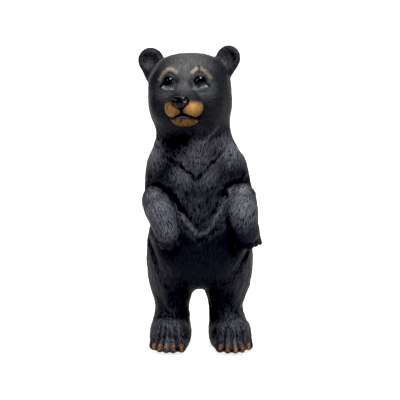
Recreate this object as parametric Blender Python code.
"""A black bear standing on its hind legs, cast hollow in resin: one closed solid, 400 mm to the ear tips.

The figure is blocked out from balls and tapered limbs and fused by a voxel remesh. Every vertex is then
settled on one smooth surface: the same masses melted into each other, with the folds of the coat, the
toes and the face carved into them. Places and sizes below are in millimetres of the figure as it is
drawn, standing on z = 0, with its face towards -Y. Its own left paw is at +X. The finished statue's
origin is on the ground, below the middle of its outline.
"""

import collections

import bmesh
import bpy
import numpy as np
from mathutils import Matrix, Vector

# Driving size
STATUE_HEIGHT = 0.400  # metres, from the soles to the tip of the higher ear

# Drawing units
DRAWN_HEIGHT = 398.5  # mm, the height that every table below is drawn for
METRES_PER_UNIT = STATUE_HEIGHT / DRAWN_HEIGHT
OUTLINE_MIDDLE = (-0.6, -11.2)  # mm, x and y

# Skin
BLOCK_VOXEL = 3.0  # mm, the first skin over the blocked-out masses
SKIN_VOXEL = 1.75  # mm, the skin that the carving is settled on
SOLID_FACES = 9800  # triangles left in the finished solid
DETAIL_SHARE = 0.7  # how far the face, toes and paws are spared when faces are thinned
DETAIL_PULL = 0.1  # and how much that counts beside the shape itself
SOLE_TRIM = 0.35  # mm ground off the soles to make them flat
FAR = 1000.0  # mm, the field's value away from every mass
SPARE_REACH = 1.3  # a mass is felt this much further out than its own size
EDGE_REACH = 8.0  # mm, and this much further again
PROBE = 0.05  # mm, the step that the slope of the field is measured over
LEAST_STEEPNESS = 0.3  # the slope squared never counts as less
LONGEST_DROP = 5.0  # mm that a vertex moves in one round
BEAD_SPACING = 0.35  # of the radius, between the primitives strung along a limb

# A mass is a ball, or a limb bent through its places with a radius at each.
# blend is how far it melts into the rest.
Ball = collections.namedtuple("Ball", "at radii turn power blend", defaults=((0, 0, 0), 2.0, 12.0))
Limb = collections.namedtuple("Limb", "places radii blend", defaults=(10.0,))

# Trunk, from the hips up
BELLY = Ball((-1, 0, 132), (69, 62, 53), power=2.3)
RUMP = Ball((-1, 24, 118), (60, 44, 39), blend=16)
RIBS = Ball((-2, -4, 180), (60, 54, 66), power=2.2, blend=22)
CHEST = Ball((-7, 0, 232), (52, 46, 48), power=2.2, blend=24)
HUMP = Ball((-5, 24, 246), (36, 27, 34), blend=20)
NECK = Ball((-8, -1, 272), (50, 38, 48), power=2.2, blend=20)
RUFF = Ball((-9, -20, 262), (37, 26, 22), blend=14)
TAIL = Ball((-2, 60, 99), (11, 13, 15), turn=(0, 30, 0), blend=10)
SHOULDERS = (
    Ball((-47, -6, 234), (22, 30, 44), turn=(0, 0, 9)),
    Ball((37, -6, 232), (23, 30, 46), turn=(0, 0, -14)),
)
BREASTS = (Ball((-28, -31, 224), (23, 21, 25)), Ball((18, -31, 224), (23, 21, 25)))
TRUNK = (BELLY, RUMP, RIBS, CHEST, HUMP, NECK, RUFF, TAIL, *SHOULDERS, *BREASTS)

# Arms: each forearm comes forward from the elbow and the paw hangs from the wrist
UPPER_ARMS = (
    Limb(((-47, -2, 240), (-55, -6, 194)), (21, 19)),
    Limb(((38, -2, 240), (53, -6, 194)), (21, 19)),
)
RIGHT_FOREARM = (Limb(((-55, -27, 198), (-50, -49, 184), (-40, -57, 160)), (21, 19.5, 17)),)
LEFT_FOREARM = (
    Limb(((52, -27, 200), (54, -48, 186), (57, -55, 160)), (21, 19.5, 17)),
    Limb(((66, -50, 161), (76, -43, 146)), (10, 3.5), blend=5),
)
RIGHT_DIGITS = ((-54, -56, 150), (-46, -62, 145), (-37, -63, 144), (-29, -59, 147))
LEFT_DIGITS = ((44, -58, 147), (53, -62, 143), (62, -60, 144), (69, -53, 147))
DIGIT_RADIUS = 6.0
DIGIT_BLEND = 3.0
ARM_BLEND = 2.5

# Legs: hip, ankle and foot across (x), for the bear's right and left
LEG_ACROSS = ((-38.5, -38, -40), (37, 34, 40))
THIGH = Ball((0, 2, 105), (32, 46, 48), turn=(0, 8, 0))
THIGH_SPLAY = 5.0  # degrees
KNEE = (-2.0, 88.0)  # back and up
ANKLE = (6.0, 48.0)
SHIN_RADII = (24.0, 22.5)
SHIN_BLEND = 12.0
HEEL = Ball((0, 15, 21), (24.5, 22, 30), blend=14)
INSTEP = Ball((0, -6, 17), (27, 40, 26), turn=(0, -13, 0), power=2.2)
LEG_BLEND = 6.0
TOES = (
    ((-60.5, -34), (-52.5, -47), (-44, -52), (-35, -52.5), (-24.5, -48.5)),
    ((25.5, -48.5), (35, -54), (45, -54), (54, -49), (62.5, -35)),
)
TOE_RISE = 9.5
TOE_RADII = (7.8, 6.3)
TOE_BLEND = 3.0
KNUCKLE_BACK = 36.0
KNUCKLE_RISE = 27.0
KNUCKLE_LEAN = 0.82  # how much of the toes' spread is left at the knuckles
CLAW_RADII = (2.5, 2.2, 0.9)
CLAW_BLEND = 0.8
CLAW_STEPS = ((-3.5, 2.5), (-8.5, 0.0), (-12.0, -7.4))  # forward of and above the toe's tip

# Head: its own space, with the nose towards -Y, turned and tilted on the neck
HEAD_AT = np.array((-14.0, -10.0, 336.0))
HEAD_YAW = -8.2
HEAD_ROLL = -1.2
NECK_BLEND = 12.0
SKULL = Ball((0, 3, 4), (54, 44, 49.5), power=2.5)
JAW = Ball((1, 2, -24), (49, 42, 38), power=2.2, blend=16)
CHEEK = Ball((27, -27, -13), (17, 15, 20))
BRIDGE = Limb(((0, -34, 14), (0, -66, -6)), (14, 10), blend=9)
MUZZLE = Ball((0.5, -50, -12), (20, 28, 14), power=2.3)
LIP_PADS = (
    Ball((-10.5, -60, -17.3), (12, 18.5, 12.7), blend=3.5),
    Ball((13, -60, -17.3), (12.8, 18.5, 12.7), blend=3.5),
    Ball((1, -63, -17.5), (8, 14.5, 8.5), blend=3.5),
)
CHIN = Ball((2, -54, -33.5), (16.5, 17, 7.5), blend=3)
LOWER_LIP = Limb(((-13, -61, -31.5), (1, -71.5, -28.3), (15, -61, -31.5)), (2.4, 3.2, 2.4), blend=2)
MUZZLE_BLEND = 8.0
EYE_AT = (19.3, -37.0, 16.5)
EYE_RADIUS = 7.0
EYE_BLEND = 2.0
SOCKET = Ball((19.5, -47.5, 16), (11.5, 8, 9.5), blend=6)
BAG = Ball((20, -37, 8), (10, 6, 3.2), blend=6)
BROW_PLACES = ((10, -38, 26.5), (15, -37, 31), (21, -36, 31.5), (28, -32.5, 26), (32.5, -29, 19.5))
BROW = Limb(BROW_PLACES, (2.5, 3.5, 4.0, 3.6, 2.5), blend=6)
NOSE_PAD = Ball((0, -80, -9), (10.5, 6.5, 6.2), power=2.4, blend=2)
NOSE_TIP = Ball((0, -80, -14.5), (5, 5, 4.5), blend=4)
NOSTRIL = Limb(((4.6, -87.5, -10), (8.5, -83.5, -8.5)), (2.2, 1.6), blend=1.2)
MOUTH_PLACES = ((1, -84.5, -17), (1, -79, -24), (7, -77.5, -25.8), (13, -72.5, -28.6), (18, -62, -31))
MOUTH = Limb(MOUTH_PLACES, (1.0,) * len(MOUTH_PLACES), blend=1.2)
EAR_LEAF = Ball((50.5, 4, 44.5), (17, 7.5, 17.5))
EAR_ROOT = Ball((43, 4, 31.5), (14.5, 9, 17), blend=7)
EAR_DISH = Ball((50.5, -6.5, 45), (12.5, 9, 13), blend=3)
EAR_TURN = (-16.0, -6.0, 20.0)
ROOT_ROLL = 30.0
EAR_BLEND = 4.0
EAR_LOBE = Ball((-50, 5, 26), (9, 7, 14), turn=(0, 0, -22), blend=6)  # on the right ear only

# Carving on the front of the coat: (x, z) along each line
BIB_EDGE = ((-60, 281), (-49, 264), (-24, 246), (-4.5, 229), (11, 245), (28, 262), (40, 284))
BIB_LIFT = 3.4
BIB_REACH = 26.0
BIB_STEP = 4.0  # mm that the edge takes to rise
BIB_TEETH = (6.5, 1.8)  # length along x, height
BIB_SHADOW = (3.0, 3.8, 1.4)  # below the edge, width, depth
BREAST_CLEFT = ((-3, 228), (-2, 205))
CLEFT_WIDTH = 5.0
CLEFT_DEPTH = 2.2
TRUNK_FRONT = (8.0, 24.0)  # mm in front of the middle, over which the carving of the trunk sets in
LIMB_FRONT = (4.0, 18.0)
BELLY_VEES = (
    ((-40, 214), (-22, 185), (-4, 165), (19, 184), (32, 206)),
    ((-15, 164), (-1, 148), (20, 164)),
)
THIGH_LINES = (((-66, 146), (-55, 120), (-45, 92)), ((66, 143), (50, 115), (31, 92)))
ELBOW_LINES = (
    ((-74, 213), (-64, 220), (-55, 219), (-46, 211), (-36, 198), (-29, 187)),
    ((29, 206), (36, 218), (51, 223), (68, 222)),
)
ELBOW_WIDTH = 5.0
ELBOW_DEPTH = 4.0
GROOVE_WIDTH = 3.6
GROOVE_DEPTH = 2.6

# Locks of fur. A pair is where something sets in and where it is complete
LOCK_SIZE = 6.5  # mm, grain of the noise that they are smeared from
LOCK_SMEAR = 15.6  # mm each way along the lie of the coat
LOCK_STEPS = 7
LOCK_LIFT = 1.9  # mm, for noise of full strength
LOCKS_BELOW_FACE = (296.0, 276.0)
LOCKS_ABOVE_TOES = (26.0, 46.0)
LOCKS_OFF_DIGITS = (8.0, 40.0)
PARTING_LEAN = 0.45  # how far the coat leans in to the parting of the breast
PARTING_X = -3.0
PARTING_WIDTH = 12.0
PARTING_RISE = (130.0, 190.0)
HEAD_COAT = (275.0, 305.0)
NOSE_AT = (0.0, -80.0, -5.0)
GRID_TURNS = (127.1, 311.7, 74.7)  # radians for each step of the noise's grid
GRID_GAIN = 43758.5453

# Where faces are kept when the skin is thinned
FACE_KEPT_AT = (-6.0, -45.0, 0.0)  # from the middle of the head
FACE_KEPT_REACH = 42.0
TOES_KEPT_HEIGHT = 22.0
TOES_KEPT_FRONT = (25.0, 40.0)
PAWS_KEPT_REACH = 14.0  # up and down from the digits
PAWS_KEPT_FRONT = (40.0, 55.0)

# Finish
RESIN_GREY = (0.022, 0.024, 0.030, 1.0)
RESIN_ROUGHNESS = 0.55


def turned(yaw=0.0, pitch=0.0, roll=0.0):
    """The axes of a mass turned about z, then x, then y, in degrees, as the columns of a matrix."""
    return np.array(
        Matrix.Rotation(np.radians(yaw), 3, "Z")
        @ Matrix.Rotation(np.radians(pitch), 3, "X")
        @ Matrix.Rotation(np.radians(roll), 3, "Y")
    )


HEAD_AXES = turned(yaw=HEAD_YAW, roll=HEAD_ROLL)


def melt(first, second, width):
    """The smooth union of two distance fields: within width of each other they swell into one."""
    share = np.clip(0.5 + 0.5 * (second - first) / width, 0, 1)
    return second * (1 - share) + first * share - width * share * (1 - share)


def carve(field, cutter, width):
    """The field with the cutter taken out, its rim rounded over width."""
    return -melt(-field, cutter, width)


def ball_distance(points, ball):
    """Distance to a ball whose section may be squarer than an ellipse: (r - 1) over its gradient."""
    own = (points - ball.at) @ turned(*ball.turn)
    share = np.abs(own / ball.radii) + np.finfo(np.float32).eps
    raised = share ** (ball.power - 1)
    radius = (raised * share).sum(-1) ** (1 / ball.power)
    slope = np.sqrt(((raised / ball.radii) ** 2).sum(-1)) * radius ** (1 - ball.power)
    return (radius - 1) / slope


def limb_distance(points, limb):
    """Distance to a round limb bent through its places, its radius running evenly from each to the next."""
    best = np.full(len(points), FAR)
    for start, end, first, last in zip(limb.places, limb.places[1:], limb.radii, limb.radii[1:]):
        along = np.subtract(end, start, dtype=float)
        own = points - start
        share = np.clip(own @ along / (along @ along), 0, 1)
        gap = own - share[:, None] * along
        best = np.minimum(best, np.sqrt((gap * gap).sum(-1)) - (first + (last - first) * share))
    return best


def distance(points, mass):
    return ball_distance(points, mass) if isinstance(mass, Ball) else limb_distance(points, mass)


def rows_near(points, mass):
    """The points close enough to a mass to feel it."""
    places = np.array([mass.at] if isinstance(mass, Ball) else mass.places, float)
    middle = places.mean(axis=0)
    size = max(mass.radii) + np.linalg.norm(places - middle, axis=1).max()
    reach = SPARE_REACH * size + mass.blend + EDGE_REACH
    gap = points - middle
    return np.flatnonzero((gap * gap).sum(-1) < reach * reach)


def add(field, points, masses):
    """Melts each mass into the field in turn."""
    for mass in masses:
        rows = rows_near(points, mass)
        field[rows] = melt(field[rows], distance(points[rows], mass), mass.blend)
    return field


def cut(field, points, masses):
    """Carves each mass out of the field in turn."""
    for mass in masses:
        rows = rows_near(points, mass)
        field[rows] = carve(field[rows], distance(points[rows], mass), mass.blend)
    return field


def mirrored(mass):
    """The same mass on the other side of the head."""
    flip = np.array((-1, 1, 1))
    if isinstance(mass, Limb):
        return mass._replace(places=tuple(tuple(flip * place) for place in mass.places))
    yaw, pitch, roll = mass.turn
    return mass._replace(at=tuple(flip * mass.at), turn=(-yaw, pitch, -roll))


def both(masses):
    return [*masses, *(mirrored(mass) for mass in masses)]


def leg_masses(across):
    """Thigh, shin, heel and instep of one leg."""
    hip, ankle, foot = across
    splay = np.sign(hip) * THIGH_SPLAY
    return [
        THIGH._replace(at=(hip, *THIGH.at[1:]), turn=(*THIGH.turn[:2], splay)),
        Limb(((ankle, *KNEE), (ankle, *ANKLE)), SHIN_RADII, blend=SHIN_BLEND),
        HEEL._replace(at=((ankle + foot) / 2, *HEEL.at[1:])),
        INSTEP._replace(at=(foot, *INSTEP.at[1:])),
    ]


def toe_masses(row, foot):
    """The toes of one foot: each runs back from its tip and leans in to the middle of the foot."""
    made = []
    for x, y in row:
        knuckle = (foot + (x - foot) * KNUCKLE_LEAN, y + KNUCKLE_BACK, KNUCKLE_RISE)
        made.append(Limb((knuckle, (x, y, TOE_RISE)), TOE_RADII, blend=TOE_BLEND))
    return made


def claw_masses(row):
    """The claws of one foot: each drops from the front of its toe to the ground."""
    drops = [[(x, y + forward, TOE_RISE + up) for forward, up in CLAW_STEPS] for x, y in row]
    return [Limb(drop, CLAW_RADII, blend=CLAW_BLEND) for drop in drops]


def smooth_step(value):
    """0 below 0, 1 above 1 and an even ease between."""
    value = np.clip(value, 0, 1)
    return value * value * (3 - 2 * value)


def rise(value, start, end):
    """The same ease, from 0 at start to 1 at end."""
    return smooth_step((value - start) / (end - start))


def line_gap(points, line):
    """How far each point is from a line drawn on the front, looking along Y."""
    flat = points[:, (0, 2)]
    best = np.full(len(points), FAR)
    for start, end in zip(line, line[1:]):
        start, run = np.array(start, float), np.subtract(end, start)
        share = np.clip((flat - start) @ run / (run @ run), 0, 1)
        gap = flat - start - share[:, None] * run
        best = np.minimum(best, np.sqrt((gap * gap).sum(-1)))
    return best


def groove(points, line, width=GROOVE_WIDTH, depth=GROOVE_DEPTH):
    return -depth * np.exp(-((line_gap(points, line) / width) ** 2))


def coat_relief(points):
    """How far the carving of the trunk's coat stands out: the bib, the cleft and the vees of the belly."""
    x, y, z = points.T
    edge = np.interp(x, *np.array(BIB_EDGE, float).T)
    length, height = BIB_TEETH
    edge = edge + height * (np.abs((x / length) % 2 - 1) * 2 - 1)
    above = z - edge
    step = rise(above, -BIB_STEP / 2, BIB_STEP / 2)
    relief = BIB_LIFT * step * np.exp(-np.maximum(above, 0) / BIB_REACH)
    below, width, depth = BIB_SHADOW
    relief -= depth * np.exp(-(((above + below) / width) ** 2))
    relief += groove(points, BREAST_CLEFT, CLEFT_WIDTH, CLEFT_DEPTH)
    for vee in BELLY_VEES:
        relief += groove(points, vee)
    return rise(-y, *TRUNK_FRONT) * relief


def limb_relief(points):
    """How deep the folds at the elbows and down the thighs are carved."""
    relief = sum(groove(points, line) for line in THIGH_LINES)
    relief += sum(groove(points, line, ELBOW_WIDTH, ELBOW_DEPTH) for line in ELBOW_LINES)
    return rise(-points[:, 1], *LIMB_FRONT) * relief


def scrambled(corners):
    """A number from -1 to 1 that belongs to each corner of a grid: the far decimals of a sine."""
    return 2 * np.mod(np.sin(corners @ np.array(GRID_TURNS)) * GRID_GAIN, 1) - 1


def cloudy(points):
    """Smooth value noise: each grid corner's number, eased between the corners."""
    whole = np.floor(points)
    part = smooth_step(points - whole)
    total = np.zeros(len(points))
    for corner in np.ndindex(2, 2, 2):
        share = np.prod(np.where(corner, part, 1 - part), axis=1)
        total += share * scrambled(whole + corner)
    return total


def lie_of_fur(points):
    """The way the coat lies: down the body, in to the middle on the breast, back from the nose."""
    x, _, z = points.T
    lean = -PARTING_LEAN * np.tanh((x - PARTING_X) / PARTING_WIDTH) * rise(z, *PARTING_RISE)
    down = np.stack([lean, np.zeros_like(x), -np.ones_like(x)], 1)
    back = points - (HEAD_AT + HEAD_AXES @ NOSE_AT)
    back = back / np.linalg.norm(back, axis=1)[:, None]
    on_head = rise(z, *HEAD_COAT)[:, None]
    lie = down * (1 - on_head) + back * on_head
    return lie / np.linalg.norm(lie, axis=1)[:, None]


def locks(points):
    """Locks of fur: noise smeared along the lie of the coat, left off the face, the toes and the digits."""
    lie = lie_of_fur(points)
    steps = np.linspace(-LOCK_SMEAR, LOCK_SMEAR, LOCK_STEPS)
    smeared = sum(cloudy((points + step * lie) / LOCK_SIZE) for step in steps) / LOCK_STEPS
    z = points[:, 2]
    where = rise(z, *LOCKS_BELOW_FACE) * rise(z, *LOCKS_ABOVE_TOES)
    for digit in RIGHT_DIGITS + LEFT_DIGITS:
        where = where * rise(np.linalg.norm(points - digit, axis=1), *LOCKS_OFF_DIGITS)
    return LOCK_LIFT * smeared * where


def head_masses():
    """The masses of the head that melt together before the eyes and the mouth are cut."""
    muzzle = [MUZZLE._replace(blend=MUZZLE_BLEND), *LIP_PADS, CHIN, LOWER_LIP]
    return [SKULL, JAW, *both([CHEEK]), BRIDGE, *muzzle]


def ear_masses(side):
    """The leaf and the root of one ear, and the dish cut into its front."""
    yaw, pitch, roll = EAR_TURN
    leaf = EAR_LEAF._replace(turn=(yaw, pitch, roll))
    root = EAR_ROOT._replace(turn=(0, 0, ROOT_ROLL))
    dish = EAR_DISH._replace(turn=(yaw, pitch, roll))
    ear = [leaf, root, dish]
    return ear if side > 0 else [mirrored(mass) for mass in ear]


def head(points):
    """The head's field, in the head's own space."""
    field = add(np.full(len(points), FAR), points, head_masses())
    field = add(field, points, both([BROW]))
    field = cut(field, points, both([SOCKET]))
    eye = Ball(EYE_AT, (EYE_RADIUS,) * 3, blend=EYE_BLEND)
    field = add(field, points, [*both([eye, BAG]), NOSE_PAD, NOSE_TIP])
    field = cut(field, points, both([NOSTRIL, MOUTH]))
    for side in (1, -1):
        leaf, root, dish = ear_masses(side)
        ear = cut(add(np.full(len(points), FAR), points, [leaf, root]), points, [dish])
        field = melt(field, ear, EAR_BLEND)
    return add(field, points, [EAR_LOBE])


def bear(points):
    """The whole figure's field: below zero inside, above zero outside, near the skin about a distance."""
    field = add(np.full(len(points), FAR), points, TRUNK)
    field = add(field, points, UPPER_ARMS)
    for across in LEG_ACROSS:
        leg = add(np.full(len(points), FAR), points, leg_masses(across))
        field = melt(field, leg, LEG_BLEND)
    field = field - coat_relief(points) - limb_relief(points)
    gap = points - HEAD_AT
    ends = [np.linalg.norm(mass.at) + max(mass.radii) for mass in (NOSE_PAD, EAR_LEAF)]
    reach = max(ends) + NECK_BLEND
    rows = np.flatnonzero((gap * gap).sum(-1) < reach * reach)
    field[rows] = melt(field[rows], head(gap[rows] @ HEAD_AXES), NECK_BLEND)
    for masses, digits in ((RIGHT_FOREARM, RIGHT_DIGITS), (LEFT_FOREARM, LEFT_DIGITS)):
        arm = add(np.full(len(points), FAR), points, masses)
        tips = [Ball(at, (DIGIT_RADIUS,) * 3, blend=DIGIT_BLEND) for at in digits]
        arm = add(arm, points, tips)
        field = melt(field, arm, ARM_BLEND)
    for row, (_, _, foot) in zip(TOES, LEG_ACROSS):
        field = add(field, points, toe_masses(row, foot) + claw_masses(row))
    return np.maximum(field, -points[:, 2])


def block_ball(mesh, ball, frame):
    """A primitive ball, drawn out to the mass's radii."""
    own = Matrix(turned(*ball.turn).tolist()).to_4x4()
    place = frame @ Matrix.Translation(ball.at) @ own @ Matrix.Diagonal((*ball.radii, 1))
    bmesh.ops.create_icosphere(mesh, subdivisions=3, radius=1, matrix=place)


def block_limb(mesh, limb, frame):
    """Primitive balls strung along a limb, close enough to fuse."""
    for start, end, first, last in zip(limb.places, limb.places[1:], limb.radii, limb.radii[1:]):
        start, end = Vector(start), Vector(end)
        count = 2 + int((end - start).length / (BEAD_SPACING * min(first, last)))
        for i in range(count):
            share = i / (count - 1)
            place = frame @ Matrix.Translation(start.lerp(end, share))
            radius = first + (last - first) * share
            bmesh.ops.create_icosphere(mesh, subdivisions=2, radius=radius, matrix=place)


def blocked_out():
    """The figure roughed out: every mass as a primitive, all in one mesh and still overlapping."""
    at_home = Matrix.Identity(4)
    on_neck = Matrix.Translation(Vector(HEAD_AT)) @ Matrix(HEAD_AXES.tolist()).to_4x4()
    body = [*TRUNK, *UPPER_ARMS, *RIGHT_FOREARM, *LEFT_FOREARM]
    for row, across in zip(TOES, LEG_ACROSS):
        body += leg_masses(across) + toe_masses(row, across[2]) + claw_masses(row)
    body += [Ball(at, (DIGIT_RADIUS,) * 3) for at in RIGHT_DIGITS + LEFT_DIGITS]
    skull = head_masses() + [NOSE_PAD, NOSE_TIP] + ear_masses(1)[:2] + ear_masses(-1)[:2]
    rough = bmesh.new()
    for masses, frame in ((body, at_home), (skull, on_neck)):
        for mass in masses:
            block = block_ball if isinstance(mass, Ball) else block_limb
            block(rough, mass, frame)
    mesh = bpy.data.meshes.new("rough")
    rough.to_mesh(mesh)
    rough.free()
    return mesh


def modified(mesh, kind, weights=(), **settings):
    """A copy of the mesh as one modifier leaves it, with a weight for each vertex if there are any."""
    holder = bpy.data.objects.new("holder", mesh)
    bpy.context.scene.collection.objects.link(holder)
    modifier = holder.modifiers.new(kind.title(), kind)
    if len(weights):
        group = holder.vertex_groups.new(name="weights")
        modifier.vertex_group = group.name
        for index, weight in enumerate(weights):
            group.add([index], weight, "REPLACE")
    for name, value in settings.items():
        setattr(modifier, name, value)
    graph = bpy.context.evaluated_depsgraph_get()
    result = bpy.data.meshes.new_from_object(holder.evaluated_get(graph), depsgraph=graph)
    bpy.data.objects.remove(holder)
    return result


def places_of(mesh):
    flat = np.empty(len(mesh.vertices) * 3)
    mesh.vertices.foreach_get("co", flat)
    return flat.reshape(-1, 3)


def evened(points, edges):
    """Each point moved half way to the middle of its neighbours, which spaces the skin evenly."""
    total = np.zeros_like(points)
    count = np.zeros(len(points))
    for one, other in (edges.T, edges.T[::-1]):
        np.add.at(total, one, points[other])
        np.add.at(count, one, 1)
    return (points + total / count[:, None]) / 2


def settle(mesh, rounds):
    """Moves every vertex of the mesh onto the figure's surface, along the slope of its field."""
    points = places_of(mesh)
    edges = np.empty(len(mesh.edges) * 2, np.int32)
    mesh.edges.foreach_get("vertices", edges)
    edges = edges.reshape(-1, 2)
    for turn in range(rounds):
        value = bear(points)
        slope = np.stack([(bear(points + PROBE * axis) - value) / PROBE for axis in np.eye(3)], 1)
        steepness = np.maximum((slope * slope).sum(1), LEAST_STEEPNESS)
        drop = np.clip(value - locks(points), -LONGEST_DROP, LONGEST_DROP)
        points = points - slope * (drop / steepness)[:, None]
        if turn < rounds - 2:
            points = evened(points, edges)
    mesh.vertices.foreach_set("co", np.round(points, 3).ravel())
    mesh.update()


def plainness(points):
    """1 on the plain stretches of the coat, which give up their faces first; less on face, toes and paws."""
    _, y, z = points.T
    face = np.exp(-(((points - HEAD_AT - FACE_KEPT_AT) / FACE_KEPT_REACH) ** 2).sum(1))
    toes = np.exp(-((z / TOES_KEPT_HEIGHT) ** 2)) * rise(-y, *TOES_KEPT_FRONT)
    level = np.mean([digit[2] for digit in RIGHT_DIGITS + LEFT_DIGITS])
    paws = np.exp(-(((z - level) / PAWS_KEPT_REACH) ** 2)) * rise(-y, *PAWS_KEPT_FRONT)
    return 1 - DETAIL_SHARE * np.maximum(face, np.maximum(toes, paws))


def flat_soled(mesh):
    """Cuts the soles off flat, just above the ground that the field stops at, closes them, and turns the
    drawing into the statue: in metres, with its origin on the ground."""
    work = bmesh.new()
    work.from_mesh(mesh)
    everything = work.verts[:] + work.edges[:] + work.faces[:]
    level = Vector((*OUTLINE_MIDDLE, SOLE_TRIM))
    bmesh.ops.bisect_plane(work, geom=everything, plane_co=level, plane_no=(0, 0, 1), clear_inner=True)
    rims = [edge for edge in work.edges if edge.is_boundary]
    bmesh.ops.holes_fill(work, edges=rims)
    bmesh.ops.triangulate(work, faces=work.faces[:])
    bmesh.ops.translate(work, verts=work.verts[:], vec=-level)
    bmesh.ops.scale(work, verts=work.verts[:], vec=(METRES_PER_UNIT,) * 3)
    bmesh.ops.recalc_face_normals(work, faces=work.faces[:])
    work.to_mesh(mesh)
    work.free()


def resin():
    """Cast resin under a charcoal paint with a dull sheen."""
    material = bpy.data.materials.new("painted cast resin")
    material.use_nodes = True
    shader = material.node_tree.nodes["Principled BSDF"]
    shader.inputs["Base Color"].default_value = RESIN_GREY
    shader.inputs["Roughness"].default_value = RESIN_ROUGHNESS
    shader.inputs["Metallic"].default_value = 0.0
    return material


def build():
    for old in list(bpy.data.objects):
        bpy.data.objects.remove(old)
    rough = modified(blocked_out(), "REMESH", mode="VOXEL", voxel_size=BLOCK_VOXEL)
    settle(rough, 3)
    skin = modified(rough, "REMESH", mode="VOXEL", voxel_size=SKIN_VOXEL)
    settle(skin, 3)
    solid = modified(
        skin,
        "DECIMATE",
        weights=plainness(places_of(skin)),
        vertex_group_factor=DETAIL_PULL,
        ratio=SOLID_FACES / (2 * len(skin.polygons)),
    )
    settle(solid, 1)
    flat_soled(solid)
    solid.name = "bear"
    solid.shade_smooth()
    solid.materials.append(resin())
    bpy.context.scene.collection.objects.link(bpy.data.objects.new("bear", solid))


build()
